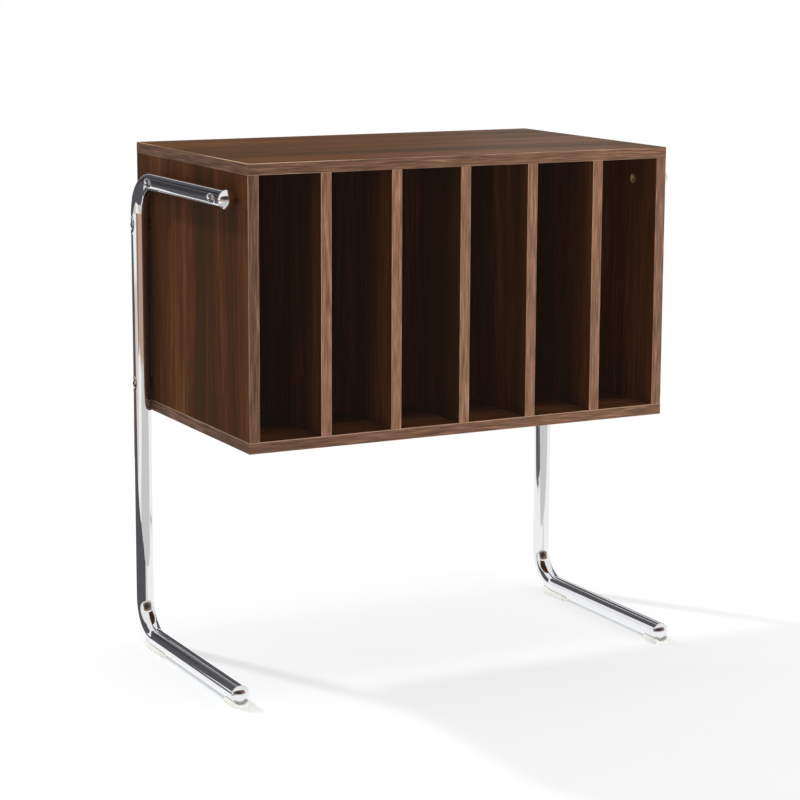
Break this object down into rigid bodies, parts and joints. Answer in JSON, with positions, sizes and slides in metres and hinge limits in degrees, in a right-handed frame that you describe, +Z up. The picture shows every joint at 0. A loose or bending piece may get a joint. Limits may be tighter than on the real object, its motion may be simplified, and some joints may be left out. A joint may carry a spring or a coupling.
{
  "type": "record storage stand",
  "caption": "Open-fronted walnut-grain cabinet with upright dividers for records, carried between bent chromed tube side frames on plastic glides.",
  "frame": {"origin": "centre of the whole stand's plan box, on the floor under the glides", "axes": "+Z up; +X across the cabinet to the right-hand frame as seen by a person facing the open front; the open front faces -Y"},
  "size_m": [0.6834, 0.385, 0.712],
  "materials": {
    "walnut_laminate": "satin walnut-grain laminate, dark reddish brown",
    "edge_band": "satin light brown edge band with fine grain",
    "back_laminate": "satin dark brown faced hardboard",
    "chrome": "polished bright chrome plate",
    "bolt_steel": "bright zinc-plated steel",
    "brass": "plain turned brass",
    "black_steel": "blackened steel",
    "glide_plastic": "translucent milky white polyethylene",
    "beech": "plain beech"
  },
  "bodies": {
    "root": {"top_panel": "walnut_laminate", "bottom_panel": "walnut_laminate", "left_side_panel": "walnut_laminate", "right_side_panel": "walnut_laminate", "divider_1": "walnut_laminate", "divider_2": "walnut_laminate", "divider_3": "walnut_laminate", "divider_4": "walnut_laminate", "divider_5": "walnut_laminate", "back_panel": "back_laminate", "top_edge_bands": "edge_band", "bottom_edge_bands": "edge_band", "side_edge_bands": "edge_band", "divider_edge_bands": "edge_band", "left_frame_tube": "chrome", "right_frame_tube": "chrome", "left_arm_cap": "chrome", "right_arm_cap": "chrome", "left_runner_cap": "chrome", "right_runner_cap": "chrome", "left_front_glide": "glide_plastic", "right_front_glide": "glide_plastic", "left_rear_glide": "glide_plastic", "right_rear_glide": "glide_plastic", "frame_bolts": "bolt_steel", "threaded_inserts": "brass", "saddle_washers": "bolt_steel", "wood_dowels": "beech", "bottom_screws": "black_steel"}
  },
  "joints": []
}
